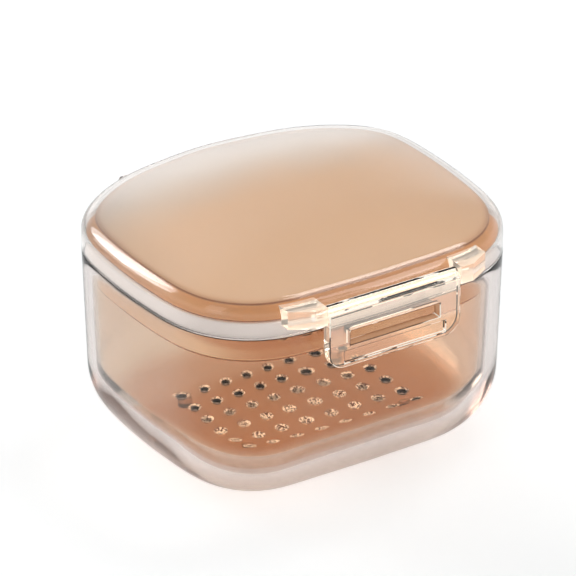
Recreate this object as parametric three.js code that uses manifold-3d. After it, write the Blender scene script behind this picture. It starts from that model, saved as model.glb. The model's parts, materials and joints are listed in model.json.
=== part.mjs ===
// Hinged mouthguard case: clear outer shell, lift-out strainer basket, domed lid with a
// bonded inner liner and a silicone seal, and a snap latch on the front of the lid.
// Millimetres, +Z up, latch towards -Y. The origin is the centre of the resting face.

import * as THREE from 'three';
import { mergeVertices } from 'three/addons/utils/BufferGeometryUtils.js';
import Module from 'manifold-3d';

const wasm = await Module();
wasm.setup();

// Plan outline: six rounded corners with every side bowed outwards.
const CASE_WIDTH = 90;
const CASE_DEPTH = 79;
const FLANK_TURN_Y = 22.6;          // where the flanks turn in towards the back
const BACK_HALF_WIDTH = 29;         // half the length of the back side before rounding
const BACK_SIDE_Y = 36.2;
const FRONT_CORNER_RADIUS = 22;
const FLANK_CORNER_RADIUS = 14.5;
const BACK_CORNER_RADIUS = 35;
const FLANK_BOW = 2.1;
const FRONT_BOW = 1;
const BACK_BOW = 3.2;
const BOW_SPREAD = 28;              // degrees either side of a side's middle

// Heights of the outer shell and lid.
const BASE_HEIGHT = 47;
const SEAM_GAP = 0.3;
const LID_SKIRT_HEIGHT = 4.4;
const LID_SHOULDER_IN = 3.6;
const LID_SHOULDER_UP = 4.4;
const LID_CROWN = 2.7;
const CROWN_SHAPE = [[5, 0.31], [12, 0.64], [21, 0.9]];  // [mm in from the shoulder, share of rise]

// Outer shell.
const BASE_WALL = 2.6;
const BASE_FLOOR = 3;
const BASE_DRAFT = 0.9;
const BASE_FILLET_IN = 19;
const BASE_FILLET_UP = 18;
const BASE_FOOT_TIGHTENING = 1.8;   // the inner fillet is this much tighter than the outer
const PEG_RADIUS = 1.6;
const PEG_X = 21;
const PEG_Y = 15;

// Strainer basket.
const BASKET_CLEARANCE = 0.4;
const BASKET_WALL = 1.3;
const BASKET_FLOOR = 1.4;
const BASKET_FLOOR_LIFT = 3;        // water space left under the basket floor
const BASKET_FILLET_IN = 14;
const BASKET_FILLET_UP = 13;
const BASKET_RIM_DROP = 0.6;        // basket rim below the rim of the outer shell
const HOLE_COLUMNS = 8;
const HOLE_ROWS = 6;
const HOLE_PITCH = 6.4;
const HOLE_DIAMETER = 3;
const HOLE_GRID_Y = -2.1;

// Lid.
const LID_WALL = 1.4;
const LINER_WALL = 1.3;
const LINER_FLANGE_HEIGHT = 0.4;
const LINER_EDGE_IN = 1.9;          // how far the liner's side wall leans in
const LINER_EDGE_UP = 2.6;
const PLUG_REACH = 7;               // how far the liner's plug drops below the seam
const SEAL_HEIGHT = 3.5;
const SEAL_WIDTH = 2.6;

// Latch on the front of the lid.
const LATCH_WIDTH = 35;
const LATCH_DROP = 14;              // pin axis to the lower edge
const LATCH_DEPTH = 2.6;
const LATCH_BARREL_RADIUS = 1.5;
const LATCH_CORNER_RADIUS = 4;
const LATCH_PIN_RADIUS = 0.8;
const PIN_ABOVE_SKIRT = 1.0;        // latch pin axis above the top of the skirt
const LATCH_STANDOFF = 0.7;         // barrel to skirt
const WINDOW_WIDTH = 24;
const WINDOW_HEIGHT = 3.6;
const WINDOW_DROP = 5.2;            // pin axis to the top of the window
const TAB_RECESS_DEPTH = 0.7;
const TAB_RECESS_WIDTH = 27;
const TAB_RECESS_HEIGHT = 3;
const TAB_RIM = 1;
const BOSS_LENGTH = 8.6;
const BOSS_HEIGHT = 4.4;
const BOSS_OUTER_PROUD = 1.1;       // how far the outer end stands off the skirt
const BOSS_WALL = 0.9;              // plastic left round the pin socket
const PIN_SOCKET = 2.4;             // how deep the pin sits in each boss
const CATCH_WIDTH = 23;
const CATCH_HEIGHT = 1.7;

// Hinge at the back.
const HINGE_OFFSET = 3.7;           // hinge axis behind the back of the case
const KNUCKLE_RADIUS = 2.6;
const LID_KNUCKLE_WIDTH = 22;
const BASE_KNUCKLE_WIDTH = 7;
const HINGE_PIN_RADIUS = 0.8;
const KNUCKLE_WEB = 5;              // height of the webs that tie knuckles to the walls

// Running clearances.
const GAP = 0.3;
const PIN_CLEARANCE = 0.35;
const OVERCUT = 1;                  // how far a cutting body runs past what it cuts

// Fineness.
const SIDES = 48;                   // facets round the plan outline
const FINE = 8;                     // outline samples per facet
const ARC_STEPS = 5;
const HOLE_SIDES = 10;
const ROUND_SIDES = 20;
const SMOOTHING_PASSES = 60;
const NORMAL_REACH = 8;             // insets beyond this run towards the centre
const AXIS_REACH = 100;             // stands for the axis in a turned profile

// Derived positions.
const SEAM_TOP = BASE_HEIGHT + SEAM_GAP;
const SKIRT_TOP = SEAM_TOP + LID_SKIRT_HEIGHT;
const SHOULDER_TOP = SKIRT_TOP + LID_SHOULDER_UP;
const LID_TOP = SHOULDER_TOP + LID_CROWN;
const FRONT_Y = -CASE_DEPTH / 2;
const BACK_Y = CASE_DEPTH / 2;
const BASKET_RIM = BASE_HEIGHT - BASKET_RIM_DROP;
const BASKET_UNDERSIDE = BASE_FLOOR + BASKET_FLOOR_LIFT;
const BASKET_INSET = BASE_WALL + BASKET_CLEARANCE;
const PLUG_INSET = BASKET_INSET + BASKET_WALL + BASKET_CLEARANCE;
const SEAL_Z = BASE_HEIGHT + GAP;
const SEAL_INSET = LID_WALL + GAP;
const LINER_FLANGE_Z = SEAL_Z + SEAL_HEIGHT + GAP;
const LATCH_PIN_Y = FRONT_Y - LATCH_STANDOFF - LATCH_BARREL_RADIUS;
const LATCH_PIN_Z = SKIRT_TOP + PIN_ABOVE_SKIRT;
const LATCH_BACK_Y = LATCH_PIN_Y + GAP;
const LATCH_FRONT_Y = LATCH_BACK_Y - LATCH_DEPTH;
const LATCH_BOTTOM_Z = LATCH_PIN_Z - LATCH_DROP;
const WINDOW_TOP_Z = LATCH_PIN_Z - WINDOW_DROP;
const BOSS_INNER_X = LATCH_WIDTH / 2 + GAP;
const HINGE_Y = BACK_Y + HINGE_OFFSET;
const HINGE_Z = BASE_HEIGHT + SEAM_GAP / 2;

// ---------------------------------------------------------------- plan outline

function roundCorner(before, corner, after, radius) {
  const towardsBefore = before.clone().sub(corner).normalize();
  const towardsAfter = after.clone().sub(corner).normalize();
  const half = Math.acos(towardsBefore.dot(towardsAfter)) / 2;
  const bisector = towardsBefore.clone().add(towardsAfter).normalize();
  const centre = corner.clone().addScaledVector(bisector, radius / Math.sin(half));
  const reach = radius / Math.tan(half);
  const start = corner.clone().addScaledVector(towardsBefore, reach).sub(centre).angle();
  let sweep = corner.clone().addScaledVector(towardsAfter, reach).sub(centre).angle() - start;
  if (sweep < 0) sweep += 2 * Math.PI;
  const points = [];
  for (let i = 0; i <= ARC_STEPS * 4; i++) {
    const angle = start + (sweep * i) / (ARC_STEPS * 4);
    points.push(new THREE.Vector2(Math.cos(angle), Math.sin(angle)).multiplyScalar(radius).add(centre));
  }
  return points;
}

function cornerPolygon() {
  const half = CASE_WIDTH / 2;
  const corners = [
    [half, FRONT_Y, FRONT_CORNER_RADIUS],
    [half, FLANK_TURN_Y, FLANK_CORNER_RADIUS],
    [BACK_HALF_WIDTH, BACK_SIDE_Y, BACK_CORNER_RADIUS],
    [-BACK_HALF_WIDTH, BACK_SIDE_Y, BACK_CORNER_RADIUS],
    [-half, FLANK_TURN_Y, FLANK_CORNER_RADIUS],
    [-half, FRONT_Y, FRONT_CORNER_RADIUS],
  ];
  const points = corners.map(([x, y]) => new THREE.Vector2(x, y));
  return corners.flatMap(([, , radius], i) => {
    const before = points[(i + 5) % 6];
    const after = points[(i + 1) % 6];
    return roundCorner(before, points[i], after, radius);
  });
}

function radiusAt(polygon, direction) {
  let best = 0;
  for (let i = 0; i < polygon.length; i++) {
    const a = polygon[i];
    const edge = polygon[(i + 1) % polygon.length].clone().sub(a);
    const cross = direction.cross(edge);
    if (Math.abs(cross) < 1e-9) continue;
    const along = a.cross(direction) / cross;
    const distance = a.cross(edge) / cross;
    if (along >= -1e-6 && along <= 1 + 1e-6 && distance > best) best = distance;
  }
  return best;
}

function bowAt(turn) {
  const degrees = THREE.MathUtils.radToDeg(turn);
  const swell = (middle) => Math.exp(-(((degrees - middle) / BOW_SPREAD) ** 2));
  const front = FRONT_BOW * (swell(0) + swell(360));
  return front + FLANK_BOW * (swell(90) + swell(270)) + BACK_BOW * swell(180);
}

function smoothed(values) {
  const count = values.length;
  return values.map((value, i) => {
    const before = values[(i + count - 1) % count];
    return (before + 2 * value + values[(i + 1) % count]) / 4;
  });
}

// Points and inward normals of the plan outline, from the front and round by +X.
function makeOutline() {
  const polygon = cornerPolygon();
  const count = SIDES * FINE;
  const directions = [];
  let radii = [];
  for (let i = 0; i < count; i++) {
    const turn = (2 * Math.PI * i) / count;
    directions.push(new THREE.Vector2(Math.sin(turn), -Math.cos(turn)));
    radii.push(radiusAt(polygon, directions[i]) + bowAt(turn));
  }
  for (let pass = 0; pass < SMOOTHING_PASSES; pass++) radii = smoothed(radii);
  const points = directions.map((direction, i) => direction.clone().multiplyScalar(radii[i]));
  const box = new THREE.Box2().setFromPoints(points);
  const size = box.getSize(new THREE.Vector2());
  const centre = box.getCenter(new THREE.Vector2());
  const scale = new THREE.Vector2(CASE_WIDTH / size.x, CASE_DEPTH / size.y);
  points.forEach((point) => point.sub(centre).multiply(scale));
  return points.map((point, i) => {
    const ahead = points[(i + 1) % count].clone().sub(points[(i + count - 1) % count]);
    return { point, inward: new THREE.Vector2(-ahead.y, ahead.x).normalize() };
  }).filter((_, i) => i % FINE === 0);
}

const OUTLINE = makeOutline();

function insetPoint(side, inset) {
  const { point, inward } = OUTLINE[side];
  const straight = NORMAL_REACH * (1 - Math.exp(-inset / NORMAL_REACH));
  const towardsCentre = point.clone().normalize().negate();
  return point.clone().addScaledVector(inward, straight).addScaledVector(towardsCentre, inset - straight);
}

// ---------------------------------------------------------------- solids

function solid(geometry) {
  geometry.deleteAttribute('normal');
  geometry.deleteAttribute('uv');
  const merged = mergeVertices(geometry, 1e-4);
  const index = merged.index.array;
  const triVerts = [];
  for (let i = 0; i < index.length; i += 3) {
    const [a, b, c] = [index[i], index[i + 1], index[i + 2]];
    if (a !== b && b !== c && c !== a) triVerts.push(a, b, c);
  }
  return new wasm.Manifold(new wasm.Mesh({
    numProp: 3,
    vertProperties: Float32Array.from(merged.attributes.position.array),
    triVerts: Uint32Array.from(triVerts),
  }));
}

// Turns a profile of [inset, height] pairs round the plan outline. A pair whose inset is
// AXIS_REACH lies on the axis.
function turned(profile) {
  const points = profile.map(([inset, z]) => new THREE.Vector2(AXIS_REACH - inset, z));
  const geometry = new THREE.LatheGeometry(points, SIDES);
  const position = geometry.attributes.position;
  for (let i = 0; i < position.count; i++) {
    const side = Math.floor(i / points.length) % SIDES;
    const inset = AXIS_REACH - points[i % points.length].x;
    const plan = inset < AXIS_REACH ? insetPoint(side, inset) : new THREE.Vector2(0, 0);
    position.setXYZ(i, plan.x, plan.y, points[i % points.length].y);
  }
  return solid(geometry);
}

function arc(insetFrom, zFrom, reachIn, reachUp, steps = ARC_STEPS) {
  const points = [];
  for (let i = 0; i <= steps; i++) {
    const angle = (Math.PI / 2) * (i / steps);
    points.push([insetFrom + reachIn * (1 - Math.cos(angle)), zFrom + reachUp * Math.sin(angle)]);
  }
  return points;
}

// A cup: flat floor, filleted foot, drafted wall. The profile starts on the axis.
function cupProfile(floorZ, inset, draft, filletIn, filletUp, topZ) {
  const foot = arc(inset + draft, floorZ + filletUp, filletIn, -filletUp).reverse();
  return [[AXIS_REACH, floorZ], ...foot, [inset, topZ]];
}

// Crowned top from an edge to the axis.
function crownProfile(inset, edgeZ) {
  const rise = CROWN_SHAPE.map(([reach, share]) => [inset + reach, edgeZ + LID_CROWN * share]);
  return [...rise, [AXIS_REACH, edgeZ + LID_CROWN]];
}

// A dome: vertical skirt, rounded shoulder, crowned top that ends on the axis.
function domeProfile(inset, fromZ, shoulderUp) {
  const shoulder = arc(inset, SKIRT_TOP, LID_SHOULDER_IN, shoulderUp);
  const crown = crownProfile(inset + LID_SHOULDER_IN, SKIRT_TOP + shoulderUp);
  return [[inset, fromZ], ...shoulder, ...crown];
}

function block(x0, x1, y0, y1, z0, z1) {
  const geometry = new THREE.BoxGeometry(x1 - x0, y1 - y0, z1 - z0);
  return solid(geometry.translate((x0 + x1) / 2, (y0 + y1) / 2, (z0 + z1) / 2));
}

function rodAlongX(x0, x1, y, z, radius) {
  const geometry = new THREE.CylinderGeometry(radius, radius, x1 - x0, ROUND_SIDES);
  return solid(geometry.rotateZ(Math.PI / 2).translate((x0 + x1) / 2, y, z));
}

function post(x, y, z0, z1, radius, sides) {
  const geometry = new THREE.CylinderGeometry(radius, radius, z1 - z0, sides);
  return solid(geometry.rotateX(Math.PI / 2).translate(x, y, (z0 + z1) / 2));
}

function extruded(shape, depth) {
  return new THREE.ExtrudeGeometry(shape, { depth, bevelEnabled: false, curveSegments: ARC_STEPS });
}

// ---------------------------------------------------------------- outer shell

function baseCavity() {
  const above = BASE_HEIGHT + OVERCUT;
  const cup = cupProfile(
    BASE_FLOOR, BASE_WALL, BASE_DRAFT,
    BASE_FILLET_IN - BASE_FOOT_TIGHTENING, BASE_FILLET_UP - BASE_FOOT_TIGHTENING, above,
  );
  return turned([...cup, [AXIS_REACH, above]]);
}

function catchRib() {
  const crestY = LATCH_BACK_Y + GAP;
  const top = WINDOW_TOP_Z - GAP;
  return block(-CATCH_WIDTH / 2, CATCH_WIDTH / 2, crestY, FRONT_Y + BASE_WALL, top - CATCH_HEIGHT, top);
}

function baseKnuckle(side) {
  const inner = LID_KNUCKLE_WIDTH / 2 + GAP;
  const x0 = side > 0 ? inner : -inner - BASE_KNUCKLE_WIDTH;
  const x1 = x0 + BASE_KNUCKLE_WIDTH;
  const barrel = rodAlongX(x0, x1, HINGE_Y, HINGE_Z, KNUCKLE_RADIUS);
  const web = block(x0, x1, BACK_Y - KNUCKLE_WEB, HINGE_Y, BASE_HEIGHT - KNUCKLE_WEB, BASE_HEIGHT);
  return barrel.add(web);
}

function hingeReach() {
  return LID_KNUCKLE_WIDTH / 2 + GAP + BASE_KNUCKLE_WIDTH;
}

function hingeBore() {
  const reach = hingeReach() + OVERCUT;
  return rodAlongX(-reach, reach, HINGE_Y, HINGE_Z, HINGE_PIN_RADIUS + PIN_CLEARANCE);
}

function makeBaseShell() {
  const outer = turned([
    ...cupProfile(0, 0, BASE_DRAFT, BASE_FILLET_IN, BASE_FILLET_UP, BASE_HEIGHT),
    [AXIS_REACH, BASE_HEIGHT],
  ]);
  let shell = outer.add(catchRib()).add(baseKnuckle(1)).add(baseKnuckle(-1));
  shell = shell.subtract(baseCavity()).subtract(hingeBore());
  for (const x of [-PEG_X, PEG_X]) {
    for (const y of [-PEG_Y, PEG_Y]) {
      const peg = post(x, y, BASE_FLOOR / 2, BASKET_UNDERSIDE - GAP, PEG_RADIUS, HOLE_SIDES);
      shell = shell.add(peg);
    }
  }
  return shell;
}

function makeHingePin() {
  const reach = hingeReach();
  return rodAlongX(-reach, reach, HINGE_Y, HINGE_Z, HINGE_PIN_RADIUS);
}

// ---------------------------------------------------------------- strainer basket

function makeBasket() {
  const outer = turned([
    ...cupProfile(
      BASKET_UNDERSIDE, BASKET_INSET, BASE_DRAFT, BASKET_FILLET_IN, BASKET_FILLET_UP, BASKET_RIM,
    ),
    [AXIS_REACH, BASKET_RIM],
  ]);
  const inner = turned([
    ...cupProfile(
      BASKET_UNDERSIDE + BASKET_FLOOR, BASKET_INSET + BASKET_WALL, BASE_DRAFT,
      BASKET_FILLET_IN, BASKET_FILLET_UP, BASKET_RIM + OVERCUT,
    ),
    [AXIS_REACH, BASKET_RIM + OVERCUT],
  ]);
  let basket = outer.subtract(inner);
  for (let column = 0; column < HOLE_COLUMNS; column++) {
    for (let row = 0; row < HOLE_ROWS; row++) {
      const x = (column - (HOLE_COLUMNS - 1) / 2) * HOLE_PITCH;
      const y = (row - (HOLE_ROWS - 1) / 2) * HOLE_PITCH + HOLE_GRID_Y;
      const bottom = BASKET_UNDERSIDE - OVERCUT;
      const top = BASKET_UNDERSIDE + BASKET_FLOOR + OVERCUT;
      basket = basket.subtract(post(x, y, bottom, top, HOLE_DIAMETER / 2, HOLE_SIDES));
    }
  }
  return basket;
}

// ---------------------------------------------------------------- lid

function latchBoss(side) {
  const shape = new THREE.Shape();
  const outerX = BOSS_INNER_X + BOSS_LENGTH;
  const rootY = FRONT_Y + LID_SHOULDER_IN + LID_WALL;
  const frontY = LATCH_PIN_Y - LATCH_PIN_RADIUS - PIN_CLEARANCE - BOSS_WALL;
  shape.moveTo(side * BOSS_INNER_X, rootY);
  shape.lineTo(side * BOSS_INNER_X, frontY);
  shape.lineTo(side * (BOSS_INNER_X + PIN_SOCKET + BOSS_WALL), frontY);
  shape.lineTo(side * outerX, FRONT_Y - BOSS_OUTER_PROUD);
  shape.lineTo(side * outerX, rootY);
  const geometry = extruded(shape, BOSS_HEIGHT);
  return solid(geometry.translate(0, 0, LATCH_PIN_Z - BOSS_HEIGHT / 2));
}

function latchPinReach() {
  return BOSS_INNER_X + PIN_SOCKET;
}

function lidKnuckle() {
  const half = LID_KNUCKLE_WIDTH / 2;
  const barrel = rodAlongX(-half, half, HINGE_Y, HINGE_Z, KNUCKLE_RADIUS);
  const webFoot = SEAM_TOP + GAP;
  return barrel.add(block(-half, half, BACK_Y - LID_WALL, HINGE_Y, webFoot, webFoot + KNUCKLE_WEB / 2));
}

function makeLidShell() {
  const outer = turned([
    [AXIS_REACH, SEAM_TOP],
    ...domeProfile(0, SEAM_TOP, LID_SHOULDER_UP),
  ]);
  const below = SEAM_TOP - OVERCUT;
  const cavity = turned([
    [AXIS_REACH, below],
    ...domeProfile(LID_WALL, below, LID_SHOULDER_UP - LID_WALL),
  ]);
  const pinHole = rodAlongX(
    -latchPinReach() - GAP, latchPinReach() + GAP,
    LATCH_PIN_Y, LATCH_PIN_Z, LATCH_PIN_RADIUS + PIN_CLEARANCE,
  );
  const joined = outer.add(latchBoss(1)).add(latchBoss(-1)).add(lidKnuckle());
  return joined.subtract(cavity).subtract(pinHole).subtract(hingeBore());
}

function makeLidLiner() {
  const inside = LID_WALL + GAP;
  const wallFoot = LINER_FLANGE_Z + LINER_FLANGE_HEIGHT;
  const edge = inside + LINER_EDGE_IN;
  const edgeTop = wallFoot + LINER_EDGE_UP;
  const plugBottom = BASE_HEIGHT - PLUG_REACH;
  const plugInside = PLUG_INSET + LINER_WALL;
  const outer = turned([
    [AXIS_REACH, plugBottom],
    [PLUG_INSET, plugBottom],
    [PLUG_INSET, LINER_FLANGE_Z],
    [inside, LINER_FLANGE_Z],
    [inside, wallFoot],
    [edge, edgeTop],
    ...crownProfile(edge, edgeTop),
  ]);
  const hollow = turned([
    [AXIS_REACH, plugBottom - OVERCUT],
    [plugInside, plugBottom - OVERCUT],
    [plugInside, wallFoot],
    [edge + LINER_WALL, edgeTop - LINER_WALL],
    ...crownProfile(edge + LINER_WALL, edgeTop - LINER_WALL),
  ]);
  return outer.subtract(hollow);
}

function makeSealRing() {
  const inner = SEAL_INSET + SEAL_WIDTH;
  const top = SEAL_Z + SEAL_HEIGHT;
  return turned([
    [SEAL_INSET, SEAL_Z], [SEAL_INSET, top], [inner, top], [inner, SEAL_Z], [SEAL_INSET, SEAL_Z],
  ]);
}

// ---------------------------------------------------------------- latch

function latchPlate() {
  const half = LATCH_WIDTH / 2;
  const shape = new THREE.Shape();
  shape.moveTo(-half, LATCH_PIN_Z);
  shape.lineTo(-half, LATCH_BOTTOM_Z + LATCH_CORNER_RADIUS);
  shape.quadraticCurveTo(-half, LATCH_BOTTOM_Z, -half + LATCH_CORNER_RADIUS, LATCH_BOTTOM_Z);
  shape.lineTo(half - LATCH_CORNER_RADIUS, LATCH_BOTTOM_Z);
  shape.quadraticCurveTo(half, LATCH_BOTTOM_Z, half, LATCH_BOTTOM_Z + LATCH_CORNER_RADIUS);
  shape.lineTo(half, LATCH_PIN_Z);
  const geometry = extruded(shape, LATCH_DEPTH).rotateX(Math.PI / 2);
  return solid(geometry.translate(0, LATCH_BACK_Y, 0));
}

function makeLatch() {
  const half = LATCH_WIDTH / 2;
  const barrel = rodAlongX(-half, half, LATCH_PIN_Y, LATCH_PIN_Z, LATCH_BARREL_RADIUS);
  const window = block(
    -WINDOW_WIDTH / 2, WINDOW_WIDTH / 2, LATCH_FRONT_Y - OVERCUT, LATCH_BACK_Y + OVERCUT,
    WINDOW_TOP_Z - WINDOW_HEIGHT, WINDOW_TOP_Z,
  );
  const recess = block(
    -TAB_RECESS_WIDTH / 2, TAB_RECESS_WIDTH / 2,
    LATCH_FRONT_Y - OVERCUT, LATCH_FRONT_Y + TAB_RECESS_DEPTH,
    LATCH_BOTTOM_Z + TAB_RIM, LATCH_BOTTOM_Z + TAB_RIM + TAB_RECESS_HEIGHT,
  );
  const bore = rodAlongX(
    -half - OVERCUT, half + OVERCUT, LATCH_PIN_Y, LATCH_PIN_Z, LATCH_PIN_RADIUS + PIN_CLEARANCE,
  );
  return barrel.add(latchPlate()).subtract(window).subtract(recess).subtract(bore);
}

function makeLatchPin() {
  return rodAlongX(-latchPinReach(), latchPinReach(), LATCH_PIN_Y, LATCH_PIN_Z, LATCH_PIN_RADIUS);
}

// ---------------------------------------------------------------- assembly

function meshOf(name, shape, color, roughness, metalness) {
  const { vertProperties, triVerts } = shape.getMesh();
  const geometry = new THREE.BufferGeometry();
  geometry.setAttribute('position', new THREE.BufferAttribute(Float32Array.from(vertProperties), 3));
  geometry.setIndex(new THREE.BufferAttribute(Uint32Array.from(triVerts), 1));
  geometry.computeVertexNormals();
  const mesh = new THREE.Mesh(geometry, new THREE.MeshStandardMaterial({ color, roughness, metalness }));
  mesh.name = name;
  return mesh;
}

const mouthguardCase = new THREE.Group();
mouthguardCase.add(
  meshOf('base_shell', makeBaseShell(), 0xe9e2de, 0.08, 0),
  meshOf('hinge_pin', makeHingePin(), 0xb9bcc0, 0.25, 1),
  meshOf('strainer_basket', makeBasket(), 0xc98e6c, 0.12, 0),
  meshOf('lid_shell', makeLidShell(), 0xeee6e1, 0.08, 0),
  meshOf('lid_liner', makeLidLiner(), 0xd3a27f, 0.3, 0),
  meshOf('seal_ring', makeSealRing(), 0xf1e6e0, 0.6, 0),
  meshOf('latch_pin', makeLatchPin(), 0xf0e8e0, 0.1, 0),
  meshOf('latch', makeLatch(), 0xf3e4d6, 0.06, 0),
);

export default mouthguardCase;
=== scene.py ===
import json
import math
from types import SimpleNamespace

import bmesh
import bpy
from bpy.props import FloatProperty, FloatVectorProperty, IntProperty, PointerProperty
from bpy.types import NodeSocket, Operator, Panel, PropertyGroup
from mathutils import Matrix, Vector


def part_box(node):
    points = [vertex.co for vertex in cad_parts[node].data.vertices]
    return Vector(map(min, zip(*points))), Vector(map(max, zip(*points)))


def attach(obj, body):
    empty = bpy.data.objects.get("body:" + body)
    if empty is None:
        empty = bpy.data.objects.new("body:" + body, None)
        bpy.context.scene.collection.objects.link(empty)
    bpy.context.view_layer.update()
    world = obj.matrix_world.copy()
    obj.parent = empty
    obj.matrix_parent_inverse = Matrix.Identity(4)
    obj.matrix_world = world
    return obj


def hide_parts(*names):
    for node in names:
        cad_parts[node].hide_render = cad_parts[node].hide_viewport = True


bl_info = {
    "name": "Mouthguard Case Builder",
    "version": (1, 0, 0),
    "blender": (4, 5, 0),
    "location": "View3D > Sidebar > Case",
    "description": "Builds the clear hinged mouthguard case piece by piece",
    "category": "Object",
}

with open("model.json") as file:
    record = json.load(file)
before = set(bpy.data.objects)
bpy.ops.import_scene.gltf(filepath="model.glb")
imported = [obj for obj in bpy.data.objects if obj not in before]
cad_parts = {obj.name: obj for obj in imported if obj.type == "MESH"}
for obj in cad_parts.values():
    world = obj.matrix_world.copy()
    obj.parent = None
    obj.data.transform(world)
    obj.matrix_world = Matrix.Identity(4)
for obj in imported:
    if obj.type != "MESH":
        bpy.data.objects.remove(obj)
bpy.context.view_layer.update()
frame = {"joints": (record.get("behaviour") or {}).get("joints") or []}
MM = 0.001


# ------------------------------------------------------------------ what the frame gives

def box_mm(node):
    """Lowest and highest corner of a CAD node, in millimetres."""
    return [[round(v / MM, 3) for v in corner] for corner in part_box(node)]


def axis_mm(name):
    """(y, z) of a joint's axis, in millimetres."""
    place = next(joint["pos_m"] for joint in frame["joints"] if joint["name"] == name)
    return [round(v / MM, 3) for v in place[1:]]


SHELL_LOW, SHELL_HIGH = box_mm("base_shell")
BASKET_LOW, BASKET_HIGH = box_mm("strainer_basket")
SEAL_LOW, SEAL_HIGH = box_mm("seal_ring")
LATCH_LOW, LATCH_HIGH = box_mm("latch")
LID_TOP = box_mm("lid_shell")[1][2]
PLUG_LOW = box_mm("lid_liner")[0][2]
LATCH_PIN_END = box_mm("latch_pin")[1][0]
HINGE_PIN_END = box_mm("hinge_pin")[1][0]
HINGE_Y, HINGE_Z = axis_mm("lid_hinge")
SWING_Y, SWING_Z = axis_mm("latch_swing")


# ------------------------------------------------------------------ named sizes, in millimetres

GAP = 0.3                         # between the rim and the lid, and between other neighbours
LID_WALL = 1.4
SEAL_INSET = LID_WALL + GAP
PIN_RISE = 1.0                    # latch pin above the top of the skirt
WIDTH = SHELL_HIGH[0] - SHELL_LOW[0]
DEPTH = SEAL_HIGH[1] - SEAL_LOW[1] + 2 * SEAL_INSET
BASE_HEIGHT = SEAL_LOW[2] - GAP
SKIRT_HEIGHT = SWING_Z - PIN_RISE - SEAL_LOW[2]
SHOULDER_UP = 4.4
CROWN = LID_TOP - SEAL_LOW[2] - SKIRT_HEIGHT - SHOULDER_UP

FLANK_TURN_Y = 22.6               # where the flanks turn in towards the back
BACK_HALF_WIDTH = 29.0            # half the length of the back side before rounding
BACK_SIDE_Y = 36.2
FRONT_CORNER_RADIUS = 22.0
FLANK_CORNER_RADIUS = 14.5
BACK_CORNER_RADIUS = 35.0
FRONT_BOW = 1.0
FLANK_BOW = 2.1
BACK_BOW = 3.2
BOW_SPREAD = 28.0                 # degrees either side of a side's middle
OUTLINE_SAMPLES = 384
SMOOTHING_PASSES = 60
CORNER_STEPS = 24
NORMAL_REACH = 8.0                # insets beyond this run towards the centre

CUP_DRAFT = 0.9                   # how far a cup narrows from its rim to its foot
BASE_WALL = 2.6
BASE_FLOOR = 3.0
BASE_FOOT = (19.0, 18.0)          # rounding of the foot, inwards and upwards
BASE_INNER_FOOT = (17.2, 16.2)
PEG_X, PEG_Y = 21, 15
PEG_SECTIONS = ((1.8, 1.5), (1.6, 3.0), (1.5, 5.4), (1.2, 5.7))   # (radius, height)
CATCH_WIDTH = 23.0
CATCH_HEIGHT = 1.7
CATCH_ROOT = 1.6                  # how far the rib reaches into the wall
CATCH_ROUND = 0.25

BASKET_CLEARANCE = 0.4
BASKET_INSET = BASE_WALL + BASKET_CLEARANCE
BASKET_WALL = 1.3
BASKET_FLOOR = 1.4
BASKET_FOOT = (14.0, 13.0)
FLOOR_TOP = BASKET_LOW[2] + BASKET_FLOOR
HOLE_COLUMNS = 8
HOLE_ROWS = 6
HOLE_GRID_Y = -2.1
HOLE_CHAMFER = 0.4                # how much narrower the bore is than the hole's rim

SKIRT_LAP = 0.15                  # how far the skirt reaches down over the seam
SHOULDER_SWEEP = 81.4             # degrees of the shoulder's ellipse before the crown starts
CROWN_POWER = 2.7                 # the higher, the flatter the middle of the lid
RING_SPACING = 1.3                # above 1, the crown's rings close up towards the middle
LINER_WALL = 1.3
LINER_EDGE_IN = 1.9               # how far the liner's side wall leans in
LINER_EDGE_UP = 2.6
LINER_FLANGE = 0.4
PLUG_REACH = BASE_HEIGHT - PLUG_LOW
PLUG_INSET = BASKET_INSET + BASKET_WALL + BASKET_CLEARANCE
SEAL_WIDTH = 2.6
SEAL_HEIGHT = SEAL_HIGH[2] - SEAL_LOW[2]

LATCH_HALF = LATCH_HIGH[0]
LATCH_PROUD = -DEPTH / 2 - LATCH_LOW[1]
LATCH_DROP = SWING_Z - LATCH_LOW[2]
LATCH_THICKNESS = 2.6
LATCH_CORNER = 4.0
BARREL_RADIUS = 1.5
WINDOW_WIDTH = 24.0
WINDOW_HEIGHT = 3.6
WINDOW_DROP = 5.2                 # pin's axis to the top of the window
RECESS_WIDTH = 27.0
RECESS_DEPTH = 0.7
RECESS_HEIGHT = 3.0
TAB_RIM = 1.0
BOSS_INNER = LATCH_HALF + GAP
BOSS_RAMP = BOSS_INNER + 3.3      # where the boss's front starts to slope back
BOSS_OUTER = BOSS_INNER + 8.6
BOSS_FACE = 2.05                  # from the pin's axis to the boss's front face
BOSS_ROOT = 5.0                   # how far the boss reaches in from the case's front
BOSS_PROUD = 1.1                  # how far its outer end stands off the front
BOSS_HEIGHT = 4.4

PIN_RADIUS = 0.8
PIN_CHAMFER = 0.15
LATCH_BORE = 0.95
LATCH_SOCKET_END = LATCH_PIN_END + GAP
HINGE_BORE = 1.0
KNUCKLE_RADIUS = 2.6
KNUCKLE_CHAMFER = 0.3
KNUCKLE_SLIP = 0.02               # a web is this much narrower than its knuckle
LID_KNUCKLE_END = 11.0
LID_WEB = (0.3, 2.8)              # its lower and upper face, above the seam
BASE_KNUCKLE = (LID_KNUCKLE_END + GAP, HINGE_PIN_END)     # its inner and outer end
WEB_HEIGHT = 5.0
WEB_ROOT = 3.4                    # how far a web of the base reaches into the wall
WEB_SPLAY = 5.32                  # a square end would trap light and look black
WEB_END = 0.8                     # square stretch at the splayed end
WEB_TIP = 0.9                     # square stretch beside the knuckle's axis
OVERCUT = 1.0                     # how far a cutting body runs past what it cuts


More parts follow.
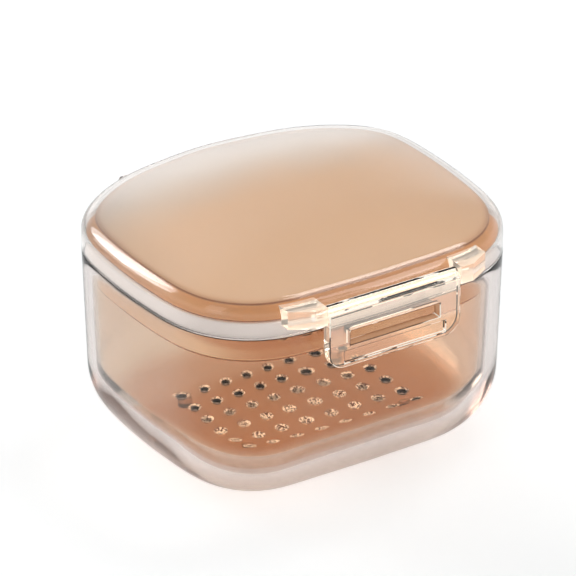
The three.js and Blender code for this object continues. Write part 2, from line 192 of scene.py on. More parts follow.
class CaseSizes(PropertyGroup):
    """Sizes of the case"""

    width: FloatProperty(
        name="Width", description="Width of the case across the flanks",
        default=WIDTH * MM, min=0.06, max=0.14, unit="LENGTH")
    depth: FloatProperty(
        name="Depth", description="Depth of the case without latch and hinge",
        default=DEPTH * MM, min=0.05, max=0.12, unit="LENGTH")
    base_height: FloatProperty(
        name="Base height", description="Height of the outer shell's rim",
        default=BASE_HEIGHT * MM, min=0.02, max=0.08, unit="LENGTH")
    skirt_height: FloatProperty(
        name="Lid skirt", description="Height of the lid's straight skirt",
        default=SKIRT_HEIGHT * MM, min=0.002, max=0.012, unit="LENGTH")
    shoulder_up: FloatProperty(
        name="Shoulder height", description="Rise of the lid's rounded shoulder",
        default=SHOULDER_UP * MM, min=0.001, max=0.012, unit="LENGTH")
    shoulder_in: FloatProperty(
        name="Shoulder reach", description="How far the shoulder runs inwards",
        default=0.0036, min=0.001, max=0.012, unit="LENGTH")
    crown: FloatProperty(
        name="Crown", description="Rise of the lid from its shoulder to its middle",
        default=CROWN * MM, min=0.0, max=0.008, unit="LENGTH")
    hole_pitch: FloatProperty(
        name="Hole pitch", description="Distance between the strainer's holes",
        default=0.0064, min=0.003, max=0.012, unit="LENGTH")
    hole_diameter: FloatProperty(
        name="Hole diameter", description="Diameter of the strainer's holes",
        default=0.003, min=0.001, max=0.006, unit="LENGTH")
    sides: IntProperty(
        name="Fineness", description="Points round the plan outline",
        default=216, min=48, max=512)


class CaseColours(PropertyGroup):
    """Colours of the case's materials"""

    clear: FloatVectorProperty(
        name="Clear shell", description="Tint of the clear outer shell",
        subtype="COLOR", size=3, min=0, max=1, default=(0.93, 0.92, 0.91))
    copper: FloatVectorProperty(
        name="Copper tint", description="Tint of the strainer basket",
        subtype="COLOR", size=3, min=0, max=1, default=(0.99, 0.86, 0.74))
    # Deeper tone low down in the basket: painted shade
    copper_floor_shade: FloatVectorProperty(
        name="Copper floor shade", description="Deeper tint low down in the basket",
        subtype="COLOR", size=3, min=0, max=1, default=(0.83, 0.52, 0.32))
    liner: FloatVectorProperty(
        name="Liner", description="Colour of the lid's satin liner",
        subtype="COLOR", size=3, min=0, max=1, default=(0.94, 0.68, 0.44))
    # Deeper tone of the liner's side wall: painted shade
    liner_edge_shade: FloatVectorProperty(
        name="Liner, edge shade", description="Deeper tone of the liner's side wall",
        subtype="COLOR", size=3, min=0, max=1, default=(1.0, 0.52, 0.22))
    # Paler tone towards the hinge: painted sheen
    liner_sheen: FloatVectorProperty(
        name="Liner, painted sheen", description="Paler tone of the liner towards the hinge",
        subtype="COLOR", size=3, min=0, max=1, default=(0.84, 0.77, 0.69))
    silicone: FloatVectorProperty(
        name="Silicone", description="Colour of the seal",
        subtype="COLOR", size=3, min=0, max=1, default=(0.94, 0.89, 0.85))
    latch: FloatVectorProperty(
        name="Latch", description="Tint of the clear latch",
        subtype="COLOR", size=3, min=0, max=1, default=(1.0, 0.93, 0.84))
    floor: FloatVectorProperty(
        name="Floor", description="Colour of the floor",
        subtype="COLOR", size=3, min=0, max=1, default=(0.905, 0.925, 0.93))


def sizes():
    """The lengths of the case in millimetres, and its fineness."""
    group = bpy.context.scene.case_sizes
    lengths = {name: round(getattr(group, name) / MM, 4)
               for name in CaseSizes.__annotations__ if name != "sides"}
    return SimpleNamespace(sides=group.sides, **lengths)


def colours():
    """The colours of the case as plain (red, green, blue)."""
    group = bpy.context.scene.case_colours
    return SimpleNamespace(**{name: tuple(getattr(group, name))
                              for name in CaseColours.__annotations__})


def places():
    """Heights and positions that several pieces share, in millimetres."""
    s = sizes()
    front, back = -s.depth / 2, s.depth / 2
    seam = s.base_height + GAP
    skirt_top = seam + s.skirt_height
    liner_foot = seam + SEAL_HEIGHT + GAP
    pin_z = skirt_top + PIN_RISE
    latch_front = front - LATCH_PROUD
    hinge_y = back + HINGE_Y - DEPTH / 2
    return SimpleNamespace(
        front=front, back=back, seam=seam, skirt_low=seam - SKIRT_LAP, skirt_top=skirt_top,
        rim=s.base_height + BASKET_HIGH[2] - BASE_HEIGHT, liner_foot=liner_foot,
        liner_top=liner_foot + LINER_FLANGE + LINER_EDGE_UP,
        pin=(0, front + SWING_Y + DEPTH / 2, pin_z), latch_front=latch_front,
        latch_back=latch_front + LATCH_THICKNESS, latch_bottom=pin_z - LATCH_DROP,
        window_top=pin_z - WINDOW_DROP, hinge_y=hinge_y,
        hinge=(0, hinge_y, s.base_height + HINGE_Z - BASE_HEIGHT))


# ------------------------------------------------------------------ plan outline

def round_corner(before, corner, after, radius):
    """Points of the arc that rounds one corner of a polygon."""
    back = (before - corner).normalized()
    ahead = (after - corner).normalized()
    half = math.acos(back.dot(ahead)) / 2
    centre = corner + (back + ahead).normalized() * (radius / math.sin(half))
    reach = radius / math.tan(half)
    start = corner + back * reach - centre
    end = corner + ahead * reach - centre
    first = math.atan2(start.y, start.x)
    sweep = (math.atan2(end.y, end.x) - first) % (2 * math.pi)
    turns = [first + sweep * i / CORNER_STEPS for i in range(CORNER_STEPS + 1)]
    return [centre + Vector((math.cos(t), math.sin(t))) * radius for t in turns]


def corner_polygon(width, depth):
    """Six-sided plan of the case with its corners rounded."""
    half, front = width / 2, -depth / 2
    right = [(half, front, FRONT_CORNER_RADIUS), (half, FLANK_TURN_Y, FLANK_CORNER_RADIUS),
             (BACK_HALF_WIDTH, BACK_SIDE_Y, BACK_CORNER_RADIUS)]
    corners = right + [(-x, y, r) for x, y, r in reversed(right)]
    points = [Vector((x, y)) for x, y, _ in corners]
    polygon = []
    for i, (_, _, radius) in enumerate(corners):
        after = points[(i + 1) % len(points)]
        polygon += round_corner(points[i - 1], points[i], after, radius)
    return polygon


def radius_at(polygon, direction):
    """How far the polygon reaches from the centre in a direction."""
    best = 0.0
    for i, a in enumerate(polygon):
        edge = polygon[(i + 1) % len(polygon)] - a
        cross = direction.cross(edge)
        if abs(cross) < 1e-9:
            continue
        along, distance = a.cross(direction) / cross, a.cross(edge) / cross
        if -1e-6 <= along <= 1 + 1e-6 and distance > best:
            best = distance
    return best


def bow_at(degrees):
    """How far the sides bow outwards, at an angle from the front and round by +X."""
    def swell(middle):
        return math.exp(-((degrees - middle) / BOW_SPREAD) ** 2)
    front, flanks, back = swell(0) + swell(360), swell(90) + swell(270), swell(180)
    return FRONT_BOW * front + FLANK_BOW * flanks + BACK_BOW * back


def make_outline(width, depth, sides):
    """Points and inward normals of the plan outline, from the front and round by +X."""
    polygon = corner_polygon(width, depth)
    count = OUTLINE_SAMPLES
    turns = [2 * math.pi * i / count for i in range(count)]
    ways = [Vector((math.sin(t), -math.cos(t))) for t in turns]
    radii = [radius_at(polygon, way) + bow_at(math.degrees(t)) for way, t in zip(ways, turns)]
    for _ in range(SMOOTHING_PASSES):
        radii = [(radii[i - 1] + 2 * radii[i] + radii[(i + 1) % count]) / 4 for i in range(count)]
    points = [way * radius for way, radius in zip(ways, radii)]
    low = Vector((min(p.x for p in points), min(p.y for p in points)))
    high = Vector((max(p.x for p in points), max(p.y for p in points)))
    centre, span = (low + high) / 2, high - low
    points = [Vector(((p.x - centre.x) * width / span.x, (p.y - centre.y) * depth / span.y))
              for p in points]
    ring = []
    for i in range(sides):
        at = i * count / sides
        k, t = int(at), at - int(at)
        point = points[k].lerp(points[(k + 1) % count], t)
        ahead = points[(k + 2) % count] - points[k - 1]
        ring.append((point, Vector((-ahead.y, ahead.x)).normalized()))
    return ring


_outlines = {}


def outline():
    """The plan outline at the present sizes, worked out once."""
    s = sizes()
    key = (s.width, s.depth, s.sides)
    if key not in _outlines:
        _outlines[key] = make_outline(*key)
    return _outlines[key]


def inset_point(point, inward, inset):
    """A point of the outline moved in along its normal, and then on towards the centre."""
    straight = NORMAL_REACH * (1 - math.exp(-inset / NORMAL_REACH))
    return point + inward * straight - point.normalized() * (inset - straight)


# ------------------------------------------------------------------ profiles

def arc(inset, z, reach_in, reach_up, steps=14, sweep=90.0):
    """Ellipse that leaves (inset, z) upright; over 90 degrees it ends flat."""
    turns = [math.radians(sweep) * i / steps for i in range(steps + 1)]
    return [(inset + reach_in * (1 - math.cos(t)), z + reach_up * math.sin(t)) for t in turns]


def eased(profile, corners, steps=4):
    """Rounds the numbered corners of a profile: {index: radius}."""
    out = []
    for i, here in enumerate(profile):
        radius = corners.get(i, 0)
        if not radius:
            out.append(here)
            continue
        p = Vector(here)
        before = Vector(profile[i - 1][:2])
        after = Vector(profile[(i + 1) % len(profile)][:2])
        a = p + (before - p).normalized() * min(radius, (before - p).length * 0.45)
        b = p + (after - p).normalized() * min(radius, (after - p).length * 0.45)
        for k in range(steps + 1):
            t = k / steps
            out.append(tuple(a * (1 - t) ** 2 + p * 2 * t * (1 - t) + b * t ** 2))
    return out


def crown_points(edge, top, crown, steps=26):
    """Crowned lid top from its shoulder to the middle, as (inset, height, scale)."""
    points = []
    for i in range(1, steps):
        share = (1 - i / steps) ** RING_SPACING
        points.append((edge, top + crown * (1 - share ** CROWN_POWER), share))
    return points


def dome(inset, from_z, skirt_top, shoulder_in, shoulder_up, crown):
    """Skirt, shoulder and crown. The shoulder stops at the slope with which the crown starts."""
    turn = math.radians(SHOULDER_SWEEP)
    shoulder = arc(inset, skirt_top, shoulder_in / (1 - math.cos(turn)),
                   shoulder_up / math.sin(turn), sweep=SHOULDER_SWEEP)
    top = crown_points(inset + shoulder_in, skirt_top + shoulder_up, crown)
    return [(inset, from_z)] + shoulder + top


def cup(floor_z, inset, foot, top_z, steps=8):
    """Half section of a cup from its rounded foot up its leaning wall to the rim."""
    foot_in, foot_up = foot
    bend = arc(inset + CUP_DRAFT, floor_z + foot_up, foot_in, -foot_up, 22)[::-1]
    wall_z = bend[-1][1]
    wall = [(inset + CUP_DRAFT * (1 - k / steps), wall_z + (top_z - wall_z) * k / steps)
            for k in range(1, steps)]
    return bend + wall + [(inset, top_z)]


# ------------------------------------------------------------------ mesh tools

ALONG_X = Matrix.Rotation(math.pi / 2, 4, "Y")
STANDING = Matrix.Rotation(math.pi / 2, 4, "X")
UPRIGHT = Matrix.Identity(4)


def mesh_from(bm, name):
    """Mesh of what a bmesh holds, which is then given back."""
    mesh = bpy.data.meshes.new(name)
    bm.to_mesh(mesh)
    bm.free()
    return mesh


def placed_mesh(bm, name, turn, place):
    """Mesh of a closed body, turned, and moved to a place in millimetres."""
    bmesh.ops.recalc_face_normals(bm, faces=bm.faces)
    bmesh.ops.transform(bm, matrix=Matrix.Translation(Vector(place) * MM) @ turn, verts=bm.verts)
    return mesh_from(bm, name)


def bridge(bm, low, high):
    """Faces between two rings of as many points."""
    for i in range(len(low)):
        k = (i + 1) % len(low)
        bm.faces.new((low[i], low[k], high[k], high[i]))


def turned_mesh(name, profile, closed=False):
    """Turns (inset, height) pairs round the plan outline. An open profile is closed by a
    point on the axis at each end."""
    ring = outline()
    bm = bmesh.new()
    rows = []
    for inset, z, *scale in profile:
        row = []
        for point, inward in ring:
            plan = inset_point(point, inward, inset) * (scale[0] if scale else 1.0)
            row.append(bm.verts.new((plan.x * MM, plan.y * MM, z * MM)))
        rows.append(row)
    for low, high in zip(rows, rows[1:] + (rows[:1] if closed else [])):
        bridge(bm, low, high)
    if not closed:
        for row, z in ((rows[0], profile[0][1]), (rows[-1], profile[-1][1])):
            middle = bm.verts.new((0, 0, z * MM))
            for i in range(len(row)):
                bm.faces.new((row[i], row[(i + 1) % len(row)], middle))
    bmesh.ops.recalc_face_normals(bm, faces=bm.faces)
    return mesh_from(bm, name)


def box_mesh(x_ends, y_ends, z_ends, bevel=0.0):
    """Box between two places along each axis."""
    bm = bmesh.new()
    bmesh.ops.create_cube(bm, size=1)
    for v in bm.verts:
        v.co = Vector([(low + high) / 2 + t * (high - low)
                       for (low, high), t in zip((x_ends, y_ends, z_ends), v.co)]) * MM
    if bevel:
        bmesh.ops.bevel(bm, geom=bm.edges[:], offset=bevel * MM, segments=2, profile=0.5,
                        affect="EDGES")
    return mesh_from(bm, "box")


def spindle_mesh(sections, turn, place, sides=40):
    """Round body from (radius, distance along its axis) pairs, turned and placed."""
    bm = bmesh.new()
    turns = [2 * math.pi * i / sides for i in range(sides)]
    rows = [[bm.verts.new((radius * math.cos(t) * MM, radius * math.sin(t) * MM, along * MM))
             for t in turns] for radius, along in sections]
    for low, high in zip(rows, rows[1:]):
        bridge(bm, low, high)
    bm.faces.new(rows[0][::-1])
    bm.faces.new(rows[-1])
    return placed_mesh(bm, "spindle", turn, place)


def rod_mesh(half, middle, radius, chamfer=0.0):
    """Round rod along X that reaches half its length either way from its middle."""
    sections = [(radius, -half), (radius, half)]
    if chamfer:
        sections = [(radius - chamfer, -half), (radius, -half + chamfer),
                    (radius, half - chamfer), (radius - chamfer, half)]
    return spindle_mesh(sections, ALONG_X, middle)


def plate_mesh(points, turn, place, thickness):
    """Flat outline of (x, y) points given a thickness along its own Z."""
    bm = bmesh.new()
    low = [bm.verts.new((x * MM, y * MM, 0)) for x, y in points]
    high = [bm.verts.new((x * MM, y * MM, thickness * MM)) for x, y in points]
    bm.faces.new(low[::-1])
    bm.faces.new(high)
    bridge(bm, low, high)
    return placed_mesh(bm, "plate", turn, place)


def combined(mesh, added=(), cut=()):
    """Joins and cuts meshes with the exact solver and returns the result."""
    scene = bpy.context.scene.collection
    work = bpy.data.objects.new("work", mesh)
    scene.objects.link(work)
    tools = []
    for operation, group in (("UNION", added), ("DIFFERENCE", cut)):
        for part in group:
            tool = bpy.data.objects.new("tool", part)
            scene.objects.link(tool)
            tools.append(tool)
            modifier = work.modifiers.new("cut", "BOOLEAN")
            modifier.operation, modifier.object, modifier.solver = operation, tool, "EXACT"
    bpy.context.view_layer.update()
    result = bpy.data.meshes.new_from_object(
        work.evaluated_get(bpy.context.evaluated_depsgraph_get()))
    for helper in [work] + tools:
        bpy.data.objects.remove(helper)
    return result


def joined(meshes):
    """Puts several separate bodies into one mesh."""
    bm = bmesh.new()
    for mesh in meshes:
        bm.from_mesh(mesh)
    group = mesh_from(bm, "group")
    for material in meshes[0].materials:
        group.materials.append(material)
    return group


def painted(mesh, materials, index=0):
    """Gives a mesh its materials, and all its faces one of them."""
    for material in materials:
        mesh.materials.append(material)
    for polygon in mesh.polygons:
        polygon.material_index = index
    return mesh


def new_piece(name, mesh, body, node, clear=True, sharp_from=28):
    """Adds a finished piece, smooth but for edges sharper than an angle in degrees. Lamps
    shine straight through a clear one."""
    for polygon in mesh.polygons:
        polygon.use_smooth = True
    mesh.set_sharp_from_angle(angle=math.radians(sharp_from))
    piece = bpy.data.objects.new(name, mesh)
    piece.visible_shadow = not clear
    bpy.context.scene.collection.objects.link(piece)
    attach(piece, body)
    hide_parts(node)
    return piece


# ------------------------------------------------------------------ node tools

def give(tree, node, inputs):
    """Gives each input of a node its value, or the socket that feeds it."""
    for key, value in inputs.items():
        if isinstance(value, NodeSocket):
            tree.links.new(value, node.inputs[key])
        else:
            node.inputs[key].default_value = value
    return node


def add_node(tree, kind, inputs=None, **settings):
    """Adds a shader node with its settings made and its inputs given."""
    node = tree.nodes.new("ShaderNode" + kind)
    for name, value in settings.items():
        setattr(node, name, value)
    return give(tree, node, inputs or {})


def object_place(tree):
    """Where a point lies on the piece, in metres."""
    return add_node(tree, "TexCoord").outputs["Object"]


def xyz(tree, place):
    return add_node(tree, "SeparateXYZ", {0: place}).outputs


def maths(tree, operation, *values):
    return add_node(tree, "Math", dict(enumerate(values)), operation=operation).outputs[0]


def distance_along(tree, place, direction):
    """Distance along a direction."""
    dot = add_node(tree, "VectorMath", operation="DOT_PRODUCT")
    return give(tree, dot, {0: place, 1: direction}).outputs["Value"]


def noise(tree, place, scale, detail=2.0, roughness=0.5):
    return add_node(tree, "TexNoise", {"Vector": place, "Scale": scale, "Detail": detail,
                                       "Roughness": roughness}).outputs["Fac"]


def stretched(tree, place, scale):
    return add_node(tree, "Mapping", {"Vector": place, "Scale": scale}).outputs["Vector"]


def ramp(tree, value, low, high, start=0.0, end=1.0, smooth=True):
    """Goes from start to end while the value goes from low to high."""
    kind = "SMOOTHSTEP" if smooth else "LINEAR"
    return add_node(tree, "MapRange", {"Value": value, "From Min": low, "From Max": high,
                                       "To Min": start, "To Max": end},
                    interpolation_type=kind).outputs["Result"]


def mixed(tree, factor, first, second):
    """Goes from the first colour to the second while the factor goes from 0 to 1."""
    mix = add_node(tree, "Mix", data_type="RGBA")
    return give(tree, mix, {"Factor": factor, 6: first, 7: second}).outputs[2]


def two_tones(tree, value, dark, light, low=0.0, high=1.0):
    """Straight change from a dark tone at low to a light one at high."""
    node = add_node(tree, "ValToRGB", {"Fac": value})
    for element, at, tone in zip(node.color_ramp.elements, (low, high), (dark, light)):
        element.position = at
        element.color = rgba(tone)
    return node.outputs["Color"]


def mixed_shaders(tree, factor, first, second):
    return add_node(tree, "MixShader", {0: factor, 1: first, 2: second}).outputs[0]


def ray_is(tree, *kinds):
    """1 for a ray of the named kinds, else 0."""
    path = add_node(tree, "LightPath").outputs
    value = path[kinds[0]]
    for kind in kinds[1:]:
        value = maths(tree, "MAXIMUM", value, path[kind])
    return value


def rgba(colour):
    return (*colour, 1)


def times(colour, *factors):
    """A colour with each channel times its factor, or all three times one."""
    return tuple(c * f for c, f in zip(colour, factors * 3 if len(factors) == 1 else factors))


# ------------------------------------------------------------------ effects that materials share

def effect(name, inputs, outputs):
    """An empty node group with its sockets, and its first and last node."""
    group = bpy.data.node_groups.new(name, "ShaderNodeTree")
    for label, default in inputs.items():
        kind = "NodeSocketColor" if isinstance(default, tuple) else "NodeSocketFloat"
        socket = group.interface.new_socket(label, in_out="INPUT", socket_type=kind)
        socket.default_value = default
    for label, kind in outputs.items():
        group.interface.new_socket(label, in_out="OUTPUT", socket_type=kind)
    return group, group.nodes.new("NodeGroupInput").outputs, group.nodes.new("NodeGroupOutput")


def moulded_surface():
    """Faint flow waves and rub marks of injection-moulded plastic."""
    name = "Moulded surface"
    if name in bpy.data.node_groups:
        return bpy.data.node_groups[name]
    group, given, end = effect(name, {"Polish": 0.02, "Rubbing": 0.05, "Wave size": 60.0},
                               {"Roughness": "NodeSocketFloat", "Height": "NodeSocketFloat"})
    place = object_place(group)
    rubbed = ramp(group, noise(group, place, 140.0, 5.0, 0.65), 0.5, 0.8, smooth=False)
    roughness = maths(group, "MULTIPLY_ADD", rubbed, given["Rubbing"], given["Polish"])
    waves = noise(group, place, given["Wave size"], 1.5)
    give(group, end, {"Roughness": roughness, "Height": waves})
    return group


def tint_and_shade_drift():
    """Tint that changes through a moulding, with painted shade and sheen laid on it: from front to
    back along Y, to two more colours below a height, and to another two close to a line round the
    piece."""
    name = "Tint drift"
    if name in bpy.data.node_groups:
        return bpy.data.node_groups[name]
    white = (1, 1, 1, 1)
    group, given, end = effect(
        name, {"Front": white, "Back": white, "Low front": white, "Low back": white,
               "From Y": -0.02, "To Y": 0.03, "From Z": -0.02, "To Z": -0.01,
               "Line front": white, "Line back": white, "Line Z": -0.02, "Line width": 0.0002},
        {"Colour": "NodeSocketColor"})
    place = object_place(group)
    _, y, z = xyz(group, place)
    stirred = maths(group, "MULTIPLY_ADD", noise(group, place, 26.0), 0.018, y)
    backward = ramp(group, stirred, given["From Y"], given["To Y"])
    upward = ramp(group, z, given["From Z"], given["To Z"])
    low = mixed(group, backward, given["Low front"], given["Low back"])
    high = mixed(group, backward, given["Front"], given["Back"])
    line = mixed(group, backward, given["Line front"], given["Line back"])
    distance = maths(group, "ABSOLUTE", maths(group, "SUBTRACT", z, given["Line Z"]))
    near = ramp(group, distance, 0.0, given["Line width"], 1.0, 0.0)
    give(group, end, {"Colour": mixed(group, near, mixed(group, upward, low, high), line)})
    return group


# ------------------------------------------------------------------ materials

def material_named(name):
    """Turns a function that sets up a shader into one that gives the finished material."""
    def wrap(set_up):
        def material():
            if name in bpy.data.materials:
                return bpy.data.materials[name]
            made = bpy.data.materials.new(name)
            made.use_nodes = True
            set_up(made.node_tree, made.node_tree.nodes["Principled BSDF"])
            return made
        return material
    return wrap


def passes_lamplight(tree, shader, share):
    """Lets a share of the lamplight cross plastic that would cast a solid shadow."""
    through = add_node(tree, "BsdfTransparent", {"Color": rgba((share,) * 3)}).outputs[0]
    surface = mixed_shaders(tree, ray_is(tree, "Is Shadow Ray"), shader.outputs[0], through)
    give(tree, tree.nodes["Material Output"], {"Surface": surface})


def moulded(tree, shader, tints, polish, rubbing, bump, clear, ior=1.49, shine=1.0,
            span=(-20, 30), rise=(-20, -10), line=None, glow=0.0):
    """Moulded plastic: drifting tint, rubbed gloss and faint flow waves; a glow gives off the tint
    as painted light.

    The tints, which can hold painted shade or sheen, are the front, the back, and the front and
    back low down. They change over span along Y and over rise along Z. A line has a front and a
    back tint, a height, and how far it fades either way. Lengths are in millimetres.
    """
    drift = {"From Y": span[0] * MM, "To Y": span[1] * MM,
             "From Z": rise[0] * MM, "To Z": rise[1] * MM}
    for label, tint in zip(("Front", "Back", "Low front", "Low back"), tints):
        drift[label] = rgba(tint)
    if line:
        front, back, height, width = line
        drift.update({"Line front": rgba(front), "Line back": rgba(back),
                      "Line Z": height * MM, "Line width": width * MM})
    colour = add_node(tree, "Group", drift, node_tree=tint_and_shade_drift()).outputs["Colour"]
    surface = add_node(tree, "Group", {"Polish": polish, "Rubbing": rubbing},
                       node_tree=moulded_surface()).outputs
    relief = add_node(tree, "Bump", {"Strength": 1.0, "Distance": bump * MM,
                                     "Height": surface["Height"]})
    give(tree, shader, {
        "IOR": ior, "Transmission Weight": clear, "Specular Tint": rgba((shine,) * 3),
        "Base Color": colour, "Roughness": surface["Roughness"],
        "Normal": relief.outputs["Normal"]})
    if glow:
        give(tree, shader, {"Emission Color": colour, "Emission Strength": glow})


@material_named("Clear shell plastic")
def clear_shell_plastic(tree, shader):
    """Clear plastic that tints light more, the further it runs inside the wall."""
    clear = colours().clear
    wall = times(clear, 0.91, 0.87, 0.86)
    low = times(clear, 0.76, 0.66, 0.59)
    moulded(tree, shader, (wall, wall, low, low), polish=0.015, rubbing=0.04, bump=0.02,
            clear=1.0, shine=0.2, rise=(BASE_FLOOR, 14.0))
    passes_lamplight(tree, shader, 0.965)
    depth_tint = add_node(tree, "VolumeAbsorption",
                          {"Color": rgba((0.60, 0.48, 0.42)), "Density": 34.0})
    give(tree, tree.nodes["Material Output"], {"Volume": depth_tint.outputs[0]})


@material_named("Clear lid plastic")
def clear_lid_plastic(tree, shader):
    """Clear plastic with a pinkish edge tint above the skirt, and a band of painted shade round
    the shoulder that darkens towards the back.
    """
    top = places().skirt_top
    edge = times(colours().clear, 0.78, 0.74, 0.71)
    skirt = times(colours().clear, 0.96, 0.93, 0.92)
    moulded(tree, shader, (edge, edge, skirt, skirt), polish=0.02, rubbing=0.05, bump=0.008,
            clear=1.0, rise=(top - 1.2, top + 0.8),
            line=(edge, times(edge, 0.6), top + 1.8, 3.0))


@material_named("Copper tinted plastic")
def copper_plastic(tree, shader):
    """Copper tinted plastic, with painted shade deepening it towards the floor, and a little
    lighter towards the back.
    """
    copper, deep = colours().copper, colours().copper_floor_shade
    light = tuple(min(c * 1.09, 1.0) for c in copper)
    pale = tuple((a + b) / 2 for a, b in zip(copper, deep))
    moulded(tree, shader, (copper, light, deep, pale), polish=0.03, rubbing=0.05, bump=0.03,
            clear=1.0, shine=0.15, span=(17, 29), rise=(FLOOR_TOP + 0.2, FLOOR_TOP + 3.6))


@material_named("Deep copper plastic")
def plug_plastic(tree, shader):
    """The liner's plug, deep in front and lighter behind."""
    deep = times(colours().copper_floor_shade, 0.86)
    moulded(tree, shader, (deep, colours().copper, deep, deep), polish=0.04, rubbing=0.05,
            bump=0.03, clear=1.0, shine=0.5, span=(-36, -12))


# Dark tone of the painted shade line in the liner's crease
LINER_CREASE_SHADE = (0.36, 0.16, 0.08)
SATIN = {"polish": 0.32, "rubbing": 0.08, "bump": 0.02, "clear": 0.3, "span": (10, 36)}


@material_named("Satin copper plastic")
def satin_liner_plastic(tree, shader):
    """Satin plastic over the liner's crown, paler towards the hinge as painted sheen, with a
    painted shade line at the crease above its side wall, which is painted a deeper shade.
    """
    c, crease = colours(), places().liner_top
    moulded(tree, shader, (c.liner, c.liner_sheen, c.liner_edge_shade, c.liner_edge_shade),
            rise=(crease - 0.3, crease + 0.4), line=(LINER_CREASE_SHADE, LINER_CREASE_SHADE, crease, 0.3),
            **SATIN)
    passes_lamplight(tree, shader, 0.8)


@material_named("Satin copper underside plastic")
def liner_underside_plastic(tree, shader):
    """The same satin plastic under the crown, with the same painted sheen towards the hinge but
    without the side wall's painted shade and the crease's painted shade line.
    """
    moulded(tree, shader, (colours().liner, colours().liner_sheen) * 2, **SATIN)
    passes_lamplight(tree, shader, 0.8)


@material_named("Cut copper plastic")
def hole_painted_shade(tree, shader):
    """Cut wall of a strainer hole: painted glints that glow, with the bores at the back and the
    right painted in deep shade."""
    place = object_place(tree)
    x, y, z = xyz(tree, place)
    # Painted glints: cream specks, which glow through the emission below
    glints = ramp(tree, noise(tree, place, 2400.0), 0.46, 0.54)
    tone = mixed(tree, glints, (0.12, 0.04, 0.02, 1), (1.0, 0.88, 0.7, 1))
    # Painted shade: the bores towards the back and the right go dark
    shaded = maths(tree, "MAXIMUM", ramp(tree, y, -6 * MM, 9 * MM),
                   ramp(tree, x, 13 * MM, 20 * MM))
    bore = ramp(tree, z, (FLOOR_TOP - 0.22) * MM, (FLOOR_TOP - 0.32) * MM)
    colour = mixed(tree, maths(tree, "MULTIPLY", shaded, bore), tone, (0.004, 0.003, 0.002, 1))
    give(tree, shader, {"Roughness": 0.4, "Specular IOR Level": 0.1, "Base Color": colour,
                        "Emission Color": colour, "Emission Strength": 0.6})


@material_named("Seam shade plastic")
def seam_painted_shade(tree, shader):
    """Underside of the lid's skirt: painted shade, dark in the shut seam and paler along the
    front.
    """
    backward = distance_along(tree, object_place(tree), (0.18, 1.0, 0.0))
    tone = mixed(tree, ramp(tree, backward, -34 * MM, -30 * MM),
                 (0.62, 0.53, 0.47, 1), (0.006, 0.005, 0.005, 1))
    give(tree, shader, {"Roughness": 0.6, "Specular IOR Level": 0.1, "Base Color": tone})


@material_named("Clear latch plastic")
def latch_plastic(tree, shader):
    """Clear plastic of the latch, warmer in the tab below the window, with a faint painted glow.
    """
    clear, under = colours().latch, places().window_top - WINDOW_HEIGHT
    tab = times(clear, 0.93, 0.80, 0.68)
    moulded(tree, shader, (clear, clear, tab, tab), polish=0.008, rubbing=0.03, bump=0.01,
            clear=0.97, ior=1.52, rise=(under - 1.4, under + 0.6), glow=0.09)


@material_named("Latch window plastic")
def window_painted_copper(tree, shader):
    """Walls of the latch's window, painted with the deep copper they would mirror from behind: a
    painted reflection.
    """
    deep = times(colours().copper_floor_shade, 0.75, 0.6, 0.5)
    moulded(tree, shader, (deep,) * 4, polish=0.06, rubbing=0.05, bump=0.01, clear=0.3)


@material_named("Latch boss plastic")
def boss_plastic(tree, shader):
    """Thick cloudy plastic of the blocks that hold the latch pin, with a painted glow."""
    cloudy = times(colours().latch, 1.0, 0.93, 0.86)
    moulded(tree, shader, (cloudy,) * 4, polish=0.04, rubbing=0.05, bump=0.02, clear=0.7,
            glow=0.13)


@material_named("Latch edge plastic")
def latch_edge_painted_glints(tree, shader):
    """Polished edges of the latch, painted with short dashes of highlight and shade that glow a
    little.
    """
    place = stretched(tree, object_place(tree), (150, 330, 330))
    tone = two_tones(tree, noise(tree, place, 1.0, 3.0), (0.01, 0.008, 0.006),
                     (1.0, 0.93, 0.82), 0.5, 0.53)
    give(tree, shader, {"Roughness": 0.15, "Base Color": tone, "Emission Color": tone,
                        "Emission Strength": 0.2})


@material_named("Milky silicone")
def silicone_rubber(tree, shader):
    """Milky silicone, a little paler in front."""
    silicone = colours().silicone
    pale = tuple(min(1.0, c * 1.06) for c in silicone)
    moulded(tree, shader, (pale, silicone) * 2, polish=0.42, rubbing=0.12, bump=0.03,
            clear=0.0, ior=1.41, span=(-34, -26))


@material_named("Drawn steel wire")
def pin_steel(tree, shader):
    """Drawn steel wire with fine lengthwise lines."""
    lines = noise(tree, stretched(tree, object_place(tree), (60, 2600, 2600)), 1.0)
    tone = two_tones(tree, lines, (0.66, 0.67, 0.69), (0.86, 0.87, 0.89))
    give(tree, shader, {"Metallic": 1.0, "Base Color": tone,
                        "Roughness": ramp(tree, lines, 0.0, 1.0, 0.3, 0.48, smooth=False)})


# ------------------------------------------------------------------ pieces

def hinge_web_plan(back, hinge_y):
    """Plan of a web that carries a knuckle of the base, with its outer end splayed."""
    inner, outer = BASE_KNUCKLE[0] + KNUCKLE_SLIP, BASE_KNUCKLE[1] - KNUCKLE_SLIP
    root, tip = back - WEB_ROOT, outer + WEB_SPLAY
    return [(inner, root), (tip, root), (tip, root + WEB_END), (outer, hinge_y - WEB_TIP),
            (outer, hinge_y), (inner, hinge_y)]


